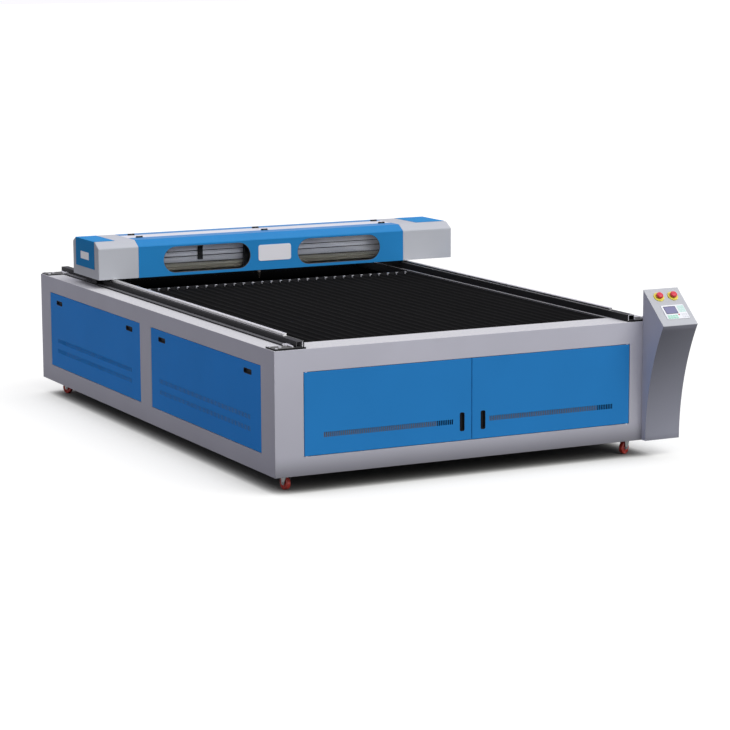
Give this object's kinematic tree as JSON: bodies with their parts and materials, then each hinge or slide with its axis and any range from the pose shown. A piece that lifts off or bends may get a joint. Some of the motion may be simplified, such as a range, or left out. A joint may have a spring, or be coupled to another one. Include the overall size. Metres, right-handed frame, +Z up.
{
  "type": "flatbed laser cutter",
  "caption": "Large flatbed laser cutter: steel cabinet on casters, blade bed between rails, gantry with windowed covers, and a side console with emergency stops.",
  "frame": {"origin": "on the floor, under the middle of the machine's box", "axes": "+X to the right across the front, +Y from the front to the back, +Z up"},
  "size_m": [2.6164, 4.044, 1.107],
  "materials": {
    "body_grey": "fine-textured powder coat",
    "frame_steel": "matt powder coat",
    "black_steel": "satin black powder coat",
    "blade_steel": "dark oiled steel",
    "bright_steel": "ground or zinc-plated steel",
    "belt_rubber": "toothed belt, matt",
    "panel_blue": "satin powder coat",
    "strip_white": "satin powder coat",
    "panel_white": "satin powder coat",
    "keypad": "membrane keys under film",
    "estop_yellow": "moulded, glossy",
    "estop_red": "moulded, glossy",
    "duct_steel": "galvanised sheet",
    "caster_zinc": "zinc plated",
    "caster_red": "moulded polyurethane",
    "aluminium": "clear anodised",
    "laser_glass": "clear tube",
    "motor_black": "matt black",
    "window_glass": "clear sheet",
    "head_brass": "turned brass"
  },
  "bodies": {
    "cabinet": {"base_frame": "frame_steel", "front_skin": "body_grey", "rear_skin": "body_grey", "left_skin": "body_grey", "right_skin": "body_grey", "floor_pan": "frame_steel", "bed_frame": "black_steel", "bed_blades": "blade_steel", "blade_clips": "bright_steel", "rear_bay_sheet": "black_steel", "rail_bases": "black_steel", "rail_tubes": "black_steel", "guide_rails": "bright_steel", "drive_belts": "belt_rubber", "belt_clamps": "bright_steel", "console_shell": "body_grey", "control_panel": "panel_white", "controller_plate": "panel_white", "panel_keys": "keypad", "estop_collars": "estop_yellow", "exhaust_collars": "duct_steel", "service_panel": "black_steel", "door_hinges": "bright_steel", "caster_plates": "bright_steel"},
    "gantry": {"gantry_beam": "aluminium", "gantry_trucks": "frame_steel", "end_caps": "body_grey", "end_hatches": "panel_blue", "top_strip": "strip_white", "cover_hinges": "black_steel", "laser_tube": "laser_glass", "motors": "motor_black", "x_belt": "belt_rubber", "belt_loops": "belt_rubber", "x_guide_rail": "bright_steel", "sensor_bracket": "black_steel"},
    "carriage": {"carriage": "aluminium"},
    "laser_head": {"laser_head": "head_brass"},
    "front_cover": {"front_cover": "panel_blue", "window_panes": "window_glass"},
    "rear_cover": {"rear_cover": "panel_blue"},
    "drive_shaft": {"drive_shaft": "bright_steel"},
    "x_drive_pulley": {"x_drive_pulley": "aluminium"},
    "x_idler_pulley": {"x_idler_pulley": "aluminium"},
    "left_door": {"left_front_door": "panel_blue"},
    "right_door": {"right_front_door": "panel_blue"},
    "left_front_side": {"left_front_panel": "panel_blue"},
    "left_rear_side": {"left_rear_panel": "panel_blue"},
    "right_front_side": {"right_front_panel": "panel_blue"},
    "right_rear_side": {"right_rear_panel": "panel_blue"},
    "left_estop": {"left_estop_button": "estop_red"},
    "right_estop": {"right_estop_button": "estop_red"},
    "fork_fl": {"caster_fork_fl": "caster_zinc"},
    "wheel_fl": {"caster_wheel_fl": "caster_red"},
    "fork_fr": {"caster_fork_fr": "caster_zinc"},
    "wheel_fr": {"caster_wheel_fr": "caster_red"},
    "fork_rl": {"caster_fork_rl": "caster_zinc"},
    "wheel_rl": {"caster_wheel_rl": "caster_red"},
    "fork_rr": {"caster_fork_rr": "caster_zinc"},
    "wheel_rr": {"caster_wheel_rr": "caster_red"}
  },
  "joints": [
    {"name": "gantry_slide", "type": "slide", "parent": "cabinet", "child": "gantry", "axis": [0, 1, 0], "range_m": [-2.55, 0.3]},
    {"name": "carriage_slide", "type": "slide", "parent": "gantry", "child": "carriage", "axis": [1, 0, 0], "range_m": [-0.72, 0.81]},
    {"name": "focus_slide", "type": "slide", "parent": "carriage", "child": "laser_head", "axis": [0, 0, 1], "range_m": [-0.005, 0.03]},
    {"name": "front_cover_hinge", "type": "hinge", "parent": "gantry", "child": "front_cover", "pos_m": [-0.01825, 1.2, 1.102], "axis": [1, 0, 0], "range_deg": [-95, 0]},
    {"name": "rear_cover_hinge", "type": "hinge", "parent": "gantry", "child": "rear_cover", "pos_m": [-0.01825, 1.347, 1.102], "axis": [1, 0, 0], "range_deg": [0, 95]},
    {"name": "drive_shaft_spin", "type": "hinge", "parent": "gantry", "child": "drive_shaft", "pos_m": [-0.08325, 1.237, 0.922], "axis": [1, 0, 0], "continuous": true},
    {"name": "x_drive_spin", "type": "hinge", "parent": "gantry", "child": "x_drive_pulley", "pos_m": [0.81175, 1.147, 1.071], "axis": [0, 1, 0], "continuous": true},
    {"name": "x_idler_spin", "type": "hinge", "parent": "gantry", "child": "x_idler_pulley", "pos_m": [-0.94825, 1.147, 1.071], "axis": [0, 1, 0], "continuous": true},
    {"name": "left_door_hinge", "type": "hinge", "parent": "cabinet", "child": "left_door", "pos_m": [-1.11725, -1.797, 0.438], "axis": [0, 0, 1], "range_deg": [-95, 0]},
    {"name": "right_door_hinge", "type": "hinge", "parent": "cabinet", "child": "right_door", "pos_m": [0.93775, -1.797, 0.438], "axis": [0, 0, 1], "range_deg": [0, 95]},
    {"name": "left_front_panel_off", "type": "slide", "parent": "cabinet", "child": "left_front_side", "axis": [-1, 0, 0], "range_m": [0, 0.12]},
    {"name": "left_rear_panel_off", "type": "slide", "parent": "cabinet", "child": "left_rear_side", "axis": [-1, 0, 0], "range_m": [0, 0.12]},
    {"name": "right_front_panel_off", "type": "slide", "parent": "cabinet", "child": "right_front_side", "axis": [1, 0, 0], "range_m": [0, 0.12]},
    {"name": "right_rear_panel_off", "type": "slide", "parent": "cabinet", "child": "right_rear_side", "axis": [1, 0, 0], "range_m": [0, 0.12]},
    {"name": "left_estop_press", "type": "slide", "parent": "cabinet", "child": "left_estop", "axis": [0, 0.6494, -0.7605], "range_m": [0, 0.006], "stiffness_N_per_m": 600, "springref_m": -0.005},
    {"name": "right_estop_press", "type": "slide", "parent": "cabinet", "child": "right_estop", "axis": [0, 0.6494, -0.7605], "range_m": [0, 0.006], "stiffness_N_per_m": 600, "springref_m": -0.005},
    {"name": "swivel_fl", "type": "hinge", "parent": "cabinet", "child": "fork_fl", "pos_m": [-1.18025, -1.676, 0.085], "axis": [0, 0, 1], "continuous": true},
    {"name": "roll_fl", "type": "hinge", "parent": "fork_fl", "child": "wheel_fl", "pos_m": [-1.18338, -1.65827, 0.0375], "axis": [0.9848, 0.1736, 0], "continuous": true},
    {"name": "swivel_fr", "type": "hinge", "parent": "cabinet", "child": "fork_fr", "pos_m": [1.01375, -1.676, 0.085], "axis": [0, 0, 1], "continuous": true},
    {"name": "roll_fr", "type": "hinge", "parent": "fork_fr", "child": "wheel_fr", "pos_m": [0.99731, -1.68332, 0.0375], "axis": [-0.4067, 0.9135, 0], "continuous": true},
    {"name": "swivel_rl", "type": "hinge", "parent": "cabinet", "child": "fork_rl", "pos_m": [-1.18025, 1.799, 0.085], "axis": [0, 0, 1], "continuous": true},
    {"name": "roll_rl", "type": "hinge", "parent": "fork_rl", "child": "wheel_rl", "pos_m": [-1.18786, 1.81531, 0.0375], "axis": [0.9063, 0.4226, 0], "continuous": true},
    {"name": "swivel_rr", "type": "hinge", "parent": "cabinet", "child": "fork_rr", "pos_m": [1.01375, 1.799, 0.085], "axis": [0, 0, 1], "continuous": true},
    {"name": "roll_rr", "type": "hinge", "parent": "fork_rr", "child": "wheel_rr", "pos_m": [1.01991, 1.81591, 0.0375], "axis": [0.9397, -0.342, 0], "continuous": true}
  ],
  "couplings": [
    {"joint": "drive_shaft_spin", "follows": "gantry_slide", "rad_per_m": 45.872},
    {"joint": "x_drive_spin", "follows": "carriage_slide", "rad_per_m": -76.628},
    {"joint": "x_idler_spin", "follows": "carriage_slide", "rad_per_m": -76.628}
  ]
}
